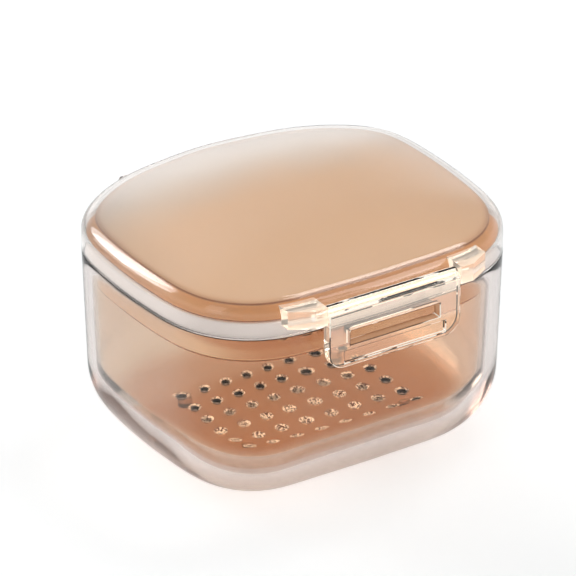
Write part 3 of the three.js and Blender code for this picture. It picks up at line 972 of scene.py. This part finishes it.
class CASE_OT_base_shell(Operator):
    """Build the clear outer shell with its catch rib, pegs and hinge knuckles"""

    bl_idname = "case.base_shell"
    bl_label = "Base shell"

    def execute(self, context):
        p, top = places(), sizes().base_height
        outside = cup(0, 0, BASE_FOOT, top)
        inside = cup(BASE_FLOOR, BASE_WALL, BASE_INNER_FOOT, top)[::-1]
        rim = len(outside)
        profile = eased(outside + inside, {rim - 1: 0.1, rim: 0.12})
        catch = p.window_top - GAP
        extras = [box_mesh((-CATCH_WIDTH / 2, CATCH_WIDTH / 2),
                           (p.latch_back + GAP, p.front + CATCH_ROOT),
                           (catch - CATCH_HEIGHT, catch), CATCH_ROUND)]
        inner, outer = BASE_KNUCKLE
        for side in (-1, 1):
            middle = (side * (inner + outer) / 2, *p.hinge[1:])
            plan = [(side * x, y) for x, y in hinge_web_plan(p.back, p.hinge_y)]
            extras.append(rod_mesh((outer - inner) / 2, middle, KNUCKLE_RADIUS, KNUCKLE_CHAMFER))
            extras.append(plate_mesh(plan, UPRIGHT, (0, 0, top - WEB_HEIGHT), WEB_HEIGHT))
            for y in (-PEG_Y, PEG_Y):
                extras.append(spindle_mesh(PEG_SECTIONS, UPRIGHT, (side * PEG_X, y, 0), 28))
        bore = rod_mesh(outer + OVERCUT, p.hinge, HINGE_BORE)
        mesh = combined(turned_mesh("base_shell_clear", profile), extras, [bore])
        painted(mesh, [clear_shell_plastic()])
        new_piece("base_shell_clear", mesh, "base", "base_shell", clear=False)
        return {"FINISHED"}


def hole_mesh(x, y, diameter):
    """Body that cuts one strainer hole: a bore with a wide chamfer above and a small one below."""
    radius, under = diameter / 2, BASKET_LOW[2]
    bore = radius - HOLE_CHAMFER
    sections = [(radius + 0.9, under - 0.8), (bore + 0.1, under), (bore, under + 0.1),
                (bore, FLOOR_TOP - 0.3), (radius + 0.14, FLOOR_TOP),
                (radius + 0.9, FLOOR_TOP + 0.7)]
    return painted(spindle_mesh(sections, UPRIGHT, (x, y, 0), 28),
                   [copper_plastic(), hole_painted_shade()], 1)


class CASE_OT_basket(Operator):
    """Build the copper strainer basket with its grid of chamfered holes"""

    bl_idname = "case.basket"
    bl_label = "Strainer basket"

    def execute(self, context):
        s, rim = sizes(), places().rim
        outside = cup(BASKET_LOW[2], BASKET_INSET, BASKET_FOOT, rim)
        inside = cup(FLOOR_TOP, BASKET_INSET + BASKET_WALL, BASKET_FOOT, rim)[::-1]
        edge = len(outside)
        profile = eased(outside + inside, {edge - 1: 0.4, edge: 0.4})
        shell = turned_mesh("strainer_basket_copper", profile)
        painted(shell, [copper_plastic(), hole_painted_shade()])
        holes = []
        for column in range(HOLE_COLUMNS):
            for row in range(HOLE_ROWS):
                x = (column - (HOLE_COLUMNS - 1) / 2) * s.hole_pitch
                y = (row - (HOLE_ROWS - 1) / 2) * s.hole_pitch + HOLE_GRID_Y
                holes.append(hole_mesh(x, y, s.hole_diameter))
        mesh = combined(shell, (), [joined(holes)])
        new_piece("strainer_basket_copper", mesh, "basket", "strainer_basket")
        return {"FINISHED"}


def boss_mesh(side):
    """Ramp block that holds one end of the latch pin."""
    p = places()
    root, face = p.front + BOSS_ROOT, p.pin[1] - BOSS_FACE
    points = [(side * x, y) for x, y in (
        (BOSS_INNER, root), (BOSS_INNER, face), (BOSS_RAMP, face),
        (BOSS_OUTER, p.front - BOSS_PROUD), (BOSS_OUTER, root))]
    mesh = plate_mesh(points[::side], UPRIGHT, (0, 0, p.pin[2] - BOSS_HEIGHT / 2), BOSS_HEIGHT)
    return painted(mesh, [clear_lid_plastic(), boss_plastic()], 1)


class CASE_OT_lid_shell(Operator):
    """Build the clear outer skin of the lid with the latch bosses and hinge knuckle"""

    bl_idname = "case.lid_shell"
    bl_label = "Lid shell"

    def execute(self, context):
        p, s = places(), sizes()
        low = p.skirt_low
        outer = dome(0, low, p.skirt_top, s.shoulder_in, s.shoulder_up, s.crown)
        inner = dome(LID_WALL, low + 0.1, p.skirt_top, s.shoulder_in, s.shoulder_up - LID_WALL,
                     s.crown)
        foot = len(inner)
        profile = eased(inner[::-1] + [(0.4, low)] + outer, {foot - 1: 0.12, foot + 1: 0.1})
        shell = turned_mesh("lid_shell_clear", profile)
        painted(shell, [clear_lid_plastic(), boss_plastic()])
        end = LID_KNUCKLE_END - KNUCKLE_SLIP
        knuckle = rod_mesh(LID_KNUCKLE_END, p.hinge, KNUCKLE_RADIUS, KNUCKLE_CHAMFER)
        web = box_mesh((-end, end), (p.back - LID_WALL, p.hinge_y),
                       [p.seam + z for z in LID_WEB], KNUCKLE_CHAMFER)
        cavity = turned_mesh("cavity", inner[::-1])
        bosses = [combined(boss_mesh(side), (), [cavity.copy()]) for side in (-1, 1)]
        socket = rod_mesh(LATCH_SOCKET_END, p.pin, LATCH_BORE)
        bore = rod_mesh(LID_KNUCKLE_END + OVERCUT, p.hinge, HINGE_BORE)
        mesh = combined(shell, [knuckle, web] + bosses, [socket, bore])
        # The skirt's underside in the shut seam gets the painted shade
        mesh.materials.append(seam_painted_shade())
        for polygon in mesh.polygons:
            if abs(polygon.center.z - low * MM) < 0.01 * MM and polygon.normal.z < -0.9:
                polygon.material_index = 2
        new_piece("lid_shell_clear", mesh, "lid", "lid_shell")
        return {"FINISHED"}


class CASE_OT_lid_liner(Operator):
    """Build the satin copper inner skin of the lid and its plug"""

    bl_idname = "case.lid_liner"
    bl_label = "Lid liner"

    def execute(self, context):
        p, s = places(), sizes()
        foot, top, low = p.liner_foot, p.liner_top, s.base_height - PLUG_REACH
        wall, edge = foot + LINER_FLANGE, SEAL_INSET + LINER_EDGE_IN
        inside = edge + LINER_WALL
        plug_inside = PLUG_INSET + LINER_WALL
        under = crown_points(inside, top - LINER_WALL, s.crown)[::-1]
        under.append((inside, top - LINER_WALL))
        plug = [(plug_inside, wall), (plug_inside, low), (PLUG_INSET, low), (PLUG_INSET, foot)]
        outer = [(SEAL_INSET, foot), (SEAL_INSET, wall), (edge, top)]
        profile = under + plug + outer + crown_points(edge, top, s.crown)
        radii = (0.8, 0, 0.3, 0.3, 0.2, 0.2, 0.2, 0.7)      # from the crown's underside outwards
        first = len(under) - 1
        mesh = turned_mesh("lid_liner_satin",
                           eased(profile, {first + i: r for i, r in enumerate(radii)}))
        painted(mesh, [satin_liner_plastic(), plug_plastic(), liner_underside_plastic()])
        for polygon in mesh.polygons:
            if polygon.center.z < (foot + 0.3) * MM:
                polygon.material_index = 1
            elif polygon.normal.z < -0.5:
                polygon.material_index = 2
        new_piece("lid_liner_satin", mesh, "lid", "lid_liner", clear=False)
        return {"FINISHED"}


class CASE_OT_seal(Operator):
    """Build the milky silicone seal behind the lid's skirt"""

    bl_idname = "case.seal"
    bl_label = "Seal ring"

    def execute(self, context):
        p = places()
        outer, inner = SEAL_INSET, SEAL_INSET + SEAL_WIDTH
        low, high = p.skirt_low, p.seam + SEAL_HEIGHT
        section = [(outer, low), (inner, low), (inner, high), (outer, high)]
        profile = eased(section, {0: 0.12, 1: 0.5, 2: 0.5, 3: 0.5})
        mesh = turned_mesh("seal_ring_silicone", profile, closed=True)
        painted(mesh, [silicone_rubber()])
        new_piece("seal_ring_silicone", mesh, "lid", "seal_ring", clear=False,
                  sharp_from=50)
        return {"FINISHED"}


def latch_outline(low, high):
    """Front view of the latch plate: square at the barrel, rounded at the lower edge."""
    turns = [math.pi / 2 * k / 8 for k in range(9)]
    left = [(-LATCH_HALF + LATCH_CORNER * (1 - math.cos(t)),
             low + LATCH_CORNER * (1 - math.sin(t))) for t in turns]
    half = [(-LATCH_HALF, high)] + left
    return half + [(-x, z) for x, z in reversed(half)]


def bevel_edges(piece, width, material_index):
    """Rounds the sharp edges of a piece and gives them a material of their own."""
    modifier = piece.modifiers.new("edges", "BEVEL")
    modifier.width = width * MM
    modifier.segments = 2
    modifier.limit_method = "ANGLE"
    modifier.angle_limit = math.radians(35)
    modifier.harden_normals = True
    modifier.material = material_index
    modifier.use_clamp_overlap = False


class CASE_OT_latch(Operator):
    """Build the clear latch with its barrel, window and recessed tab"""

    bl_idname = "case.latch"
    bl_label = "Latch"

    def execute(self, context):
        p = places()
        low, high, ahead = p.latch_bottom, p.pin[2], p.latch_front - OVERCUT
        plate = plate_mesh(latch_outline(low, high), STANDING, (0, p.latch_back, 0),
                           LATCH_THICKNESS)
        barrel = rod_mesh(LATCH_HALF, p.pin, BARREL_RADIUS)
        window = box_mesh((-WINDOW_WIDTH / 2, WINDOW_WIDTH / 2), (ahead, p.latch_back + OVERCUT),
                          (p.window_top - WINDOW_HEIGHT, p.window_top))
        recess = box_mesh((-RECESS_WIDTH / 2, RECESS_WIDTH / 2),
                          (ahead, p.latch_front + RECESS_DEPTH),
                          (low + TAB_RIM, low + TAB_RIM + RECESS_HEIGHT))
        bore = rod_mesh(LATCH_HALF + OVERCUT, p.pin, LATCH_BORE)
        plastics = [latch_plastic(), latch_edge_painted_glints(), window_painted_copper()]
        painted(plate, plastics)
        painted(window, plastics, 2)
        mesh = combined(plate, [barrel], [window, recess, bore])
        # The barrel's crest and the ledge on top of the plate also get the painted highlight and
        # shade dashes
        crest = (high + BARREL_RADIUS - 0.15) * MM
        for polygon in mesh.polygons:
            on_crest = polygon.center.z > crest and -0.26 < polygon.normal.y < 0.1
            on_ledge = abs(polygon.center.z - high * MM) < 0.1 * MM and polygon.normal.z > 0.9
            if on_crest or on_ledge:
                polygon.material_index = 1
        piece = new_piece("latch_clear", mesh, "latch", "latch")
        bevel_edges(piece, 0.2, 1)
        return {"FINISHED"}


class CASE_OT_pins(Operator):
    """Build the latch pin and the steel hinge pin"""

    bl_idname = "case.pins"
    bl_label = "Pins"

    def execute(self, context):
        p = places()
        pin = rod_mesh(LATCH_PIN_END, p.pin, PIN_RADIUS, PIN_CHAMFER)
        painted(pin, [latch_plastic()])
        new_piece("latch_pin_clear", pin, "lid", "latch_pin")
        wire = rod_mesh(HINGE_PIN_END, p.hinge, PIN_RADIUS, PIN_CHAMFER)
        painted(wire, [pin_steel()])
        new_piece("hinge_pin_steel", wire, "base", "hinge_pin", clear=False)
        return {"FINISHED"}


# ------------------------------------------------------------------ stage, in metres

FLOOR_REACH = 6.0
FLOOR_DROP = 0.0001               # keeps the floor clear of the resting face
FLOOR_LIFT = 0.36                 # what the floor adds where it is looked at directly
FLOOR_MIRRORED = 0.32             # share of that lift that a reflection sees

# Name, place, what it points at, width and height, and watts.
LAMPS = (
    ("Back softbox", (-0.61, 0.91, 0.58), (0, 0, 0.05), (0.36, 0.62), 4.9),
    ("Top softbox", (0.50, 0.13, 0.91), (0, 0, 0), (0.3, 0.3), 1.45),
    ("Left softbox", (-0.8, -0.25, 0.55), (0, 0, 0.04), (0.3, 0.5), 0.65),
    ("Front softbox", (0.55, -0.75, 0.5), (0, 0, 0.03), (0.3, 0.5), 1.7),
)

# Sky strength from the band behind the case up to the zenith: heights, then strengths.
SKY = (0.20, 0.46, 1.2, 0.2)

# Soft glows that the lid mirrors: azimuth from +Y to +X, elevation, inner and outer angle, all
# in degrees, and strength. Only glossy surfaces see the window.
GLOWS = ((17, -20, 30, 52, 0.8), (8, 24, 8, 26, 1.0), (27, 52, 4, 20, 0.35))
WINDOW_GLOW = (-32, 27, 15, 20, 6.0)

LENS = 363.6
CAMERA_DISTANCE = 1.3336
CAMERA_AZIMUTH = 212.67           # where it stands, from +Y to +X
CAMERA_ELEVATION = 28.41
CAMERA_TARGET = (-0.00201, -0.00258, 0.03661)


@material_named("Pale floor")
def floor_finish(tree, shader):
    """Pale floor, lifted towards white for every ray that looks at it directly."""
    mirrored = maths(tree, "MULTIPLY", ray_is(tree, "Is Glossy Ray"), FLOOR_MIRRORED)
    direct = ray_is(tree, "Is Camera Ray", "Is Transmission Ray")
    lift = maths(tree, "MULTIPLY", maths(tree, "MAXIMUM", mirrored, direct), FLOOR_LIFT)
    give(tree, shader, {"Base Color": rgba(colours().floor), "Roughness": 0.7,
                        "Specular IOR Level": 0.1, "Emission Color": lift,
                        "Emission Strength": 1.0})


def add_floor():
    reach, low = FLOOR_REACH, -FLOOR_DROP
    mesh = bpy.data.meshes.new("floor")
    mesh.from_pydata([(-reach, -reach, low), (reach, -reach, low), (reach, reach, low),
                      (-reach, reach, low)], [], [(0, 1, 2, 3)])
    mesh.materials.append(floor_finish())
    floor = bpy.data.objects.new("floor", mesh)
    bpy.context.scene.collection.objects.link(floor)


def aim(thing, place, direction):
    """Links a lamp or camera and points it in a direction."""
    bpy.context.scene.collection.objects.link(thing)
    thing.location = place
    thing.rotation_mode = "QUATERNION"
    thing.rotation_quaternion = direction.to_track_quat("-Z", "Y")


def add_lamp(name, place, target, size, watts):
    data = bpy.data.lights.new(name, "AREA")
    data.shape = "RECTANGLE"
    data.size, data.size_y = size
    data.energy = watts
    aim(bpy.data.objects.new(name, data), place, Vector(target) - Vector(place))


def direction_at(azimuth, elevation):
    """Unit vector at an azimuth from +Y to +X and an elevation, in degrees."""
    turn, rise = math.radians(azimuth), math.radians(elevation)
    return Vector((math.sin(turn) * math.cos(rise), math.cos(turn) * math.cos(rise),
                   math.sin(rise)))


def glow_toward(tree, direction, glow):
    """Strength of one soft round glow in the sky."""
    azimuth, elevation, inner, outer, strength = glow
    toward = distance_along(tree, direction, direction_at(azimuth, elevation))
    return ramp(tree, toward, math.cos(math.radians(outer)), math.cos(math.radians(inner)),
                0.0, strength)


def set_world():
    """White all round. Reflections see a bright low band behind the case and a dimmer sky."""
    world = bpy.data.worlds.new("Studio")
    bpy.context.scene.world = world
    world.use_nodes = True
    tree = world.node_tree
    direction = add_node(tree, "TexCoord").outputs["Generated"]
    total = ramp(tree, xyz(tree, direction)["Z"], *SKY)
    for glow in GLOWS:
        total = maths(tree, "ADD", total, glow_toward(tree, direction, glow))
    total = maths(tree, "MULTIPLY_ADD", glow_toward(tree, direction, WINDOW_GLOW),
                  ray_is(tree, "Is Glossy Ray"), total)
    white = {"Color": (1, 1, 1, 1)}
    light = give(tree, tree.nodes["Background"], {**white, "Strength": total})
    seen = add_node(tree, "Background", {**white, "Strength": 1.0})
    both = mixed_shaders(tree, ray_is(tree, "Is Camera Ray", "Is Transmission Ray"),
                         light.outputs[0], seen.outputs[0])
    give(tree, tree.nodes["World Output"], {"Surface": both})


def add_camera():
    data = bpy.data.cameras.new("Camera")
    data.lens = LENS
    data.sensor_width = 36.0
    data.clip_start, data.clip_end = 0.01, 100
    camera = bpy.data.objects.new("Camera", data)
    back = direction_at(CAMERA_AZIMUTH, CAMERA_ELEVATION)
    aim(camera, Vector(CAMERA_TARGET) + back * CAMERA_DISTANCE, -back)
    bpy.context.scene.camera = camera


class CASE_OT_stage(Operator):
    """Build the floor, lamps, world and camera"""

    bl_idname = "case.stage"
    bl_label = "Stage"

    def execute(self, context):
        add_floor()
        set_world()
        for lamp in LAMPS:
            add_lamp(*lamp)
        add_camera()
        context.scene.view_settings.view_transform = "Standard"
        paths = context.scene.cycles      # light crosses many clear walls before it leaves
        paths.max_bounces = paths.glossy_bounces = paths.transmission_bounces = 32
        paths.transparent_max_bounces = 16
        return {"FINISHED"}


# ------------------------------------------------------------------ sidebar and registration

class CASE_PT_builder(Panel):
    """Lists the sizes, colours and build steps of the case"""

    bl_label = "Mouthguard case"
    bl_idname = "CASE_PT_builder"
    bl_space_type = "VIEW_3D"
    bl_region_type = "UI"
    bl_category = "Case"

    def draw(self, context):
        layout = self.layout
        for group in (context.scene.case_sizes, context.scene.case_colours):
            box = layout.box()
            for name in group.__annotations__:
                box.prop(group, name)
        for step in STEPS:
            layout.operator(step.bl_idname)


STEPS = (CASE_OT_base_shell, CASE_OT_basket, CASE_OT_lid_shell, CASE_OT_lid_liner,
         CASE_OT_seal, CASE_OT_latch, CASE_OT_pins, CASE_OT_stage)
CLASSES = (CaseSizes, CaseColours) + STEPS + (CASE_PT_builder,)


def register():
    for item in CLASSES:
        bpy.utils.register_class(item)
    bpy.types.Scene.case_sizes = PointerProperty(type=CaseSizes)
    bpy.types.Scene.case_colours = PointerProperty(type=CaseColours)


def unregister():
    del bpy.types.Scene.case_colours
    del bpy.types.Scene.case_sizes
    for item in reversed(CLASSES):
        bpy.utils.unregister_class(item)


def main():
    register()
    for step in (bpy.ops.case.base_shell, bpy.ops.case.basket, bpy.ops.case.lid_shell,
                 bpy.ops.case.lid_liner, bpy.ops.case.seal, bpy.ops.case.latch,
                 bpy.ops.case.pins, bpy.ops.case.stage):
        step()


if __name__ == "__main__":
    main()
